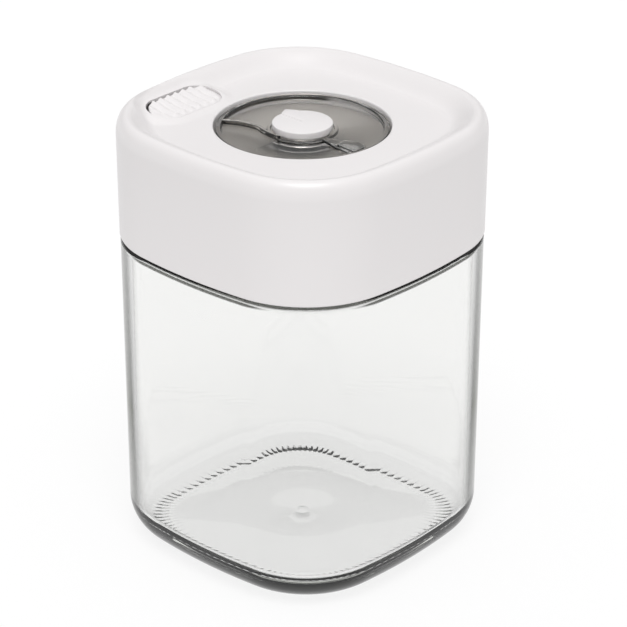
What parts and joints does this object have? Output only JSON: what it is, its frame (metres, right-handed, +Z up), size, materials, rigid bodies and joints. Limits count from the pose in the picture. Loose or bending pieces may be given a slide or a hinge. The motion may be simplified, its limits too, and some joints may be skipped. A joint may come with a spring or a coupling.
{
  "type": "lidded glass canister",
  "caption": "Rounded square glass food canister with a tall white lid, a clear turning dial that seals it and a ribbed push button that lets air in.",
  "frame": {"origin": "centre of the surface that the jar stands on", "axes": "+Z up through the jar and the lid; the push button is on the -X side of the lid; the flat sides face X and Y"},
  "size_m": [0.1, 0.1, 0.142],
  "materials": {
    "clear_glass": "polished clear glass, faintly green at the edges",
    "white_plastic": "white moulded plastic, satin",
    "clear_plastic": "clear moulded plastic, polished",
    "grey_metal": "warm grey satin metal",
    "silicone": "translucent white silicone, matt",
    "steel": "bright steel",
    "bearing_plastic": "natural acetal"
  },
  "bodies": {
    "jar": {"glass_jar": "clear_glass"},
    "lid": {"lid_shell": "white_plastic", "well_plate": "grey_metal", "plug_body": "white_plastic", "neck_cushion": "silicone", "jar_gasket": "silicone", "plate_spring": "steel", "spindle_bush": "bearing_plastic", "thrust_washer": "bearing_plastic", "shell_screw_1": "steel", "shell_screw_2": "steel", "shell_screw_3": "steel", "shell_screw_4": "steel", "guide_pin_1": "steel", "guide_pin_2": "steel", "vent_spring": "steel"},
    "dial": {"dial_wheel": "clear_plastic", "dial_cap": "white_plastic", "dial_screw": "steel", "spindle": "white_plastic", "cross_pin": "steel", "spindle_o_ring": "silicone"},
    "plate": {"pressure_plate": "white_plastic", "hub_cover": "white_plastic"},
    "vent": {"vent_button": "white_plastic", "vent_stem": "white_plastic", "vent_seal": "silicone"}
  },
  "joints": [
    {"name": "lid_lift", "type": "slide", "parent": "jar", "child": "lid", "axis": [0, 0, 1], "range_m": [0, 0.06]},
    {"name": "dial_turn", "type": "hinge", "parent": "lid", "child": "dial", "pos_m": [0, 0, 0.13], "axis": [0, 0, 1], "range_deg": [0, 90]},
    {"name": "plate_lift", "type": "slide", "parent": "lid", "child": "plate", "axis": [0, 0, 1], "range_m": [0, 0.00251], "deforming": ["jar_gasket", "plate_spring"]},
    {"name": "vent_press", "type": "slide", "parent": "lid", "child": "vent", "axis": [0, 0, -1], "range_m": [0, 0.0015], "stiffness_N_per_m": 600, "springref_m": -0.001, "deforming": ["vent_spring"]}
  ],
  "couplings": [
    {"joint": "plate_lift", "follows": "dial_turn", "m_per_rad": 0.0015915}
  ]
}
